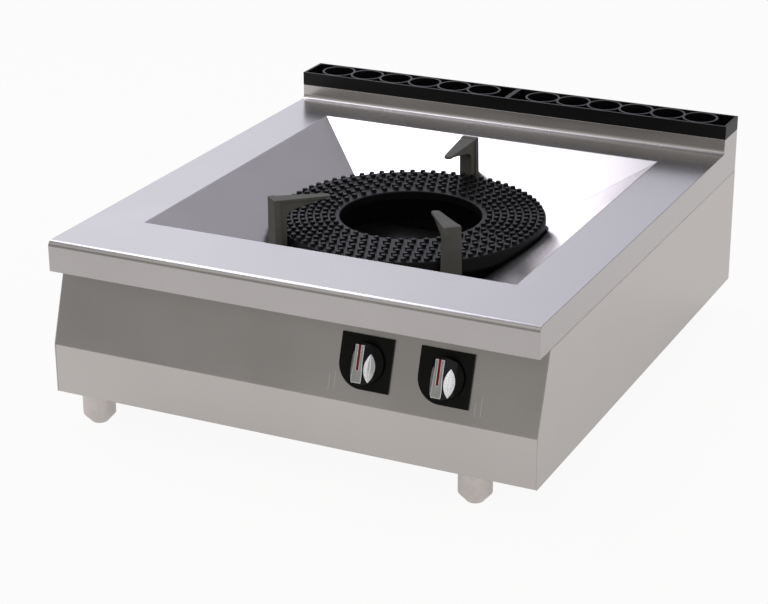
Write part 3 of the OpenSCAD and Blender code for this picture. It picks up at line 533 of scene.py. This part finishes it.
def brighten_rim(plate):
    """Gives the cut edges of a grip plate, and a narrow rim round its face, the finish of the trim."""
    plate.data.materials.append(MATERIALS["bright_trim"])
    outward = Vector((0, -math.cos(LEAN_A), math.sin(LEAN_A)))
    work = bmesh.new()
    work.from_mesh(plate.data)
    work.normal_update()
    front = [face for face in work.faces if face.normal.dot(outward) > FACES_OUT]
    bmesh.ops.inset_region(work, faces=front, thickness=PLATE_RIM * MM, use_even_offset=True)
    for face in work.faces:
        face.material_index = 0 if face in front else 1
    work.to_mesh(plate.data)
    work.free()


def panel_marks():
    """Thin plain strokes beside the bezels, low on the control panel."""
    work = bmesh.new()
    for x, low, high in STROKES:
        left, right = x - STROKE_W / 2, x + STROKE_W / 2
        corners = ((left, low), (right, low), (right, high), (left, high))
        under, upper = [[work.verts.new(on_panel(across, up, out)) for across, up in corners]
                        for out in (0.0, STROKE_T)]
        work.faces.new(under)
        work.faces.new(upper)
        for i in range(len(corners)):
            k = (i + 1) % len(corners)
            work.faces.new((under[i], under[k], upper[k], upper[i]))
    bmesh.ops.recalc_face_normals(work, faces=work.faces)
    mesh = bpy.data.meshes.new("panel_marks")
    work.to_mesh(mesh)
    work.free()
    piece = bpy.data.objects.new("panel_marks", mesh)
    scene.collection.objects.link(piece)
    dress(piece, "pale_ink")
    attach(piece, "unit")


for side in ("left", "right"):
    rounded("bezel_" + side, "bezel_moulding_" + side, radius_mm=0.6, segments=2)
    rounded("knob_" + side, "knob_moulding_" + side, radius_mm=0.8)
    brighten_rim(rounded(
        "knob_face_" + side, "grip_plate_" + side, radius_mm=1.1, segments=1, finish="plate_trim"))
    cheek_plates(side)
panel_marks()


# Feet

for end in ("front", "back"):
    for side in ("left", "right"):
        rounded(f"foot_{end}_{side}", f"turned_foot_{end}_{side}", radius_mm=0.7, segments=2)


# Camera, matched to the straight edges in the photograph

CAMERA_PLACE = (1.36466, -2.92410, 1.41316)
CAMERA_TURN = 25.82
CAMERA_TILT = 22.04
CAMERA_ROLL = -0.32
FOCAL_PX = 2121.09
FRAME_WIDTH_PX = 768
SENSOR_MM = 36
VIEW_REACH = 50

camera_data = bpy.data.cameras.new("camera")
camera_data.sensor_width = SENSOR_MM
camera_data.lens = FOCAL_PX / FRAME_WIDTH_PX * SENSOR_MM
camera_data.clip_end = VIEW_REACH
camera = bpy.data.objects.new("camera", camera_data)
scene.collection.objects.link(camera)
camera.matrix_world = (
    Matrix.Translation(CAMERA_PLACE)
    @ Matrix.Rotation(math.radians(CAMERA_TURN), 4, "Z")
    @ Matrix.Rotation(math.radians(90 - CAMERA_TILT), 4, "X")
    @ Matrix.Rotation(math.radians(CAMERA_ROLL), 4, "Z"))
scene.camera = camera


# Studio, in metres

FLOOR_REACH = 6.0
# Share of plain white that the camera sees in the floor; the rest carries the unit's shadow
CAMERA_WHITE = 0.93
# Share of plain white that the metal sees in the floor
GLOSS_WHITE = 0.5
# Colour of the lamps and of the surround at the back, and of the surround at the front and the right
SKY = "#f2f3ff"
ROOM = "#fffdf7"
# Soft surround, as sums of glows: direction, where the glow starts and is full, its level and its colour
GLOWS = (
    ((0, 1, 0), -0.9, 0.6, 0.5, SKY),
    ((0, -1, 0), -0.6, 0.9, 0.28, ROOM),
    ((-0.596, 0.711, 0.375), 0.84, 1.0, 0.8, SKY),
    ((-0.335, -0.58, 0.743), 0.9, 1.0, 0.5, ROOM),
    ((0, -0.98, 0.0), 0.7, 0.98, 0.08, ROOM),
    ((0.85, -0.45, 0.28), 0.3, 1.0, 0.24, ROOM),
)
LAMP_AIM = Vector((0, 0, 0.28))
LAMP_DISTANCE = 3.0


def background_floor():
    """White paper: white to the camera and half white in the metal, with the unit's soft shadow."""
    material, tree, output = new_material("white_paper_floor")
    diffuse = add(tree, "ShaderNodeBsdfDiffuse", Color=linear("#f2ebe5"))
    white = add(tree, "ShaderNodeEmission", Color=linear("#ffffff"), Strength=1.0)
    path = add(tree, "ShaderNodeLightPath").outputs
    seen = add(tree, "ShaderNodeMath", {0: path["Is Camera Ray"]}, operation="MULTIPLY", in_1=CAMERA_WHITE)
    mirrored = add(tree, "ShaderNodeMath", {0: path["Is Glossy Ray"], 1: path["Is Transmission Ray"]},
                   operation="MAXIMUM")
    share = add(tree, "ShaderNodeMath", {0: mirrored.outputs[0], 2: seen.outputs[0]},
                operation="MULTIPLY_ADD", in_1=GLOSS_WHITE)
    mix = add(tree, "ShaderNodeMixShader", {0: share.outputs[0], 1: diffuse.outputs[0], 2: white.outputs[0]})
    tree.links.new(mix.outputs[0], output.inputs["Surface"])
    return material


def floor():
    """A wide flat floor under the feet."""
    mesh = bpy.data.meshes.new("floor")
    corners = [(-FLOOR_REACH, -FLOOR_REACH, 0), (FLOOR_REACH, -FLOOR_REACH, 0),
               (FLOOR_REACH, FLOOR_REACH, 0), (-FLOOR_REACH, FLOOR_REACH, 0)]
    mesh.from_pydata(corners, [], [(0, 1, 2, 3)])
    sheet = bpy.data.objects.new("floor", mesh)
    scene.collection.objects.link(sheet)
    sheet.data.materials.append(background_floor())


def surround():
    """A surround that is white to the camera and gives the unit the soft glows."""
    world = bpy.data.worlds.new("studio")
    scene.world = world
    world.use_nodes = True
    tree = world.node_tree
    tree.nodes.clear()
    output = add(tree, "ShaderNodeOutputWorld")
    path = add(tree, "ShaderNodeLightPath").outputs
    seen = add(tree, "ShaderNodeMath", {0: path["Is Camera Ray"], 1: path["Is Transmission Ray"]},
               operation="MAXIMUM")
    direction = add(tree, "ShaderNodeTexCoord").outputs["Generated"]
    total = None
    for towards, low, high, level, colour in GLOWS:
        facing = add(tree, "ShaderNodeVectorMath", {0: direction}, operation="DOT_PRODUCT", in_1=towards)
        glow = add(tree, "ShaderNodeMapRange", {"Value": facing.outputs["Value"]},
                   in_1=low, in_2=high, in_3=0.0, in_4=level)
        tinted = add(tree, "ShaderNodeVectorMath", {"Scale": glow.outputs["Result"]},
                     operation="SCALE", in_0=linear(colour)[:3]).outputs["Vector"]
        if total is None:
            total = tinted
        else:
            summed = add(tree, "ShaderNodeVectorMath", {0: total, 1: tinted}, operation="ADD")
            total = summed.outputs["Vector"]
    soft = add(tree, "ShaderNodeBackground", {"Color": total})
    white = add(tree, "ShaderNodeBackground", Color=linear("#ffffff"), Strength=1.0)
    mix = add(tree, "ShaderNodeMixShader", {0: seen.outputs[0], 1: soft.outputs[0], 2: white.outputs[0]})
    tree.links.new(mix.outputs[0], output.inputs["Surface"])


def softbox(name, turn, tilt, size, radiance):
    """Wide soft lamp, seen from the unit at a turn from +Y towards -X and a tilt above the floor."""
    t, e = math.radians(turn), math.radians(tilt)
    towards = Vector((-math.sin(t) * math.cos(e), math.cos(t) * math.cos(e), math.sin(e)))
    place_at = LAMP_AIM + LAMP_DISTANCE * towards
    data = bpy.data.lights.new(name, "AREA")
    data.shape = "RECTANGLE"
    data.size, data.size_y = size
    data.energy = radiance * math.pi * size[0] * size[1]
    data.color = linear(SKY)[:3]
    lamp = bpy.data.objects.new(name, data)
    scene.collection.objects.link(lamp)
    lamp.location = place_at
    lamp.rotation_euler = (LAMP_AIM - place_at).to_track_quat("-Z", "Y").to_euler()
    lamp.visible_camera = False


floor()
surround()
softbox("high_left_softbox", turn=76, tilt=65, size=(1.7, 1.0), radiance=2.2)
softbox("low_left_softbox", turn=61, tilt=52, size=(1.5, 0.9), radiance=3.2)
softbox("right_softbox", turn=262, tilt=2, size=(1.8, 0.6), radiance=1.6)
scene.view_settings.view_transform = "Standard"
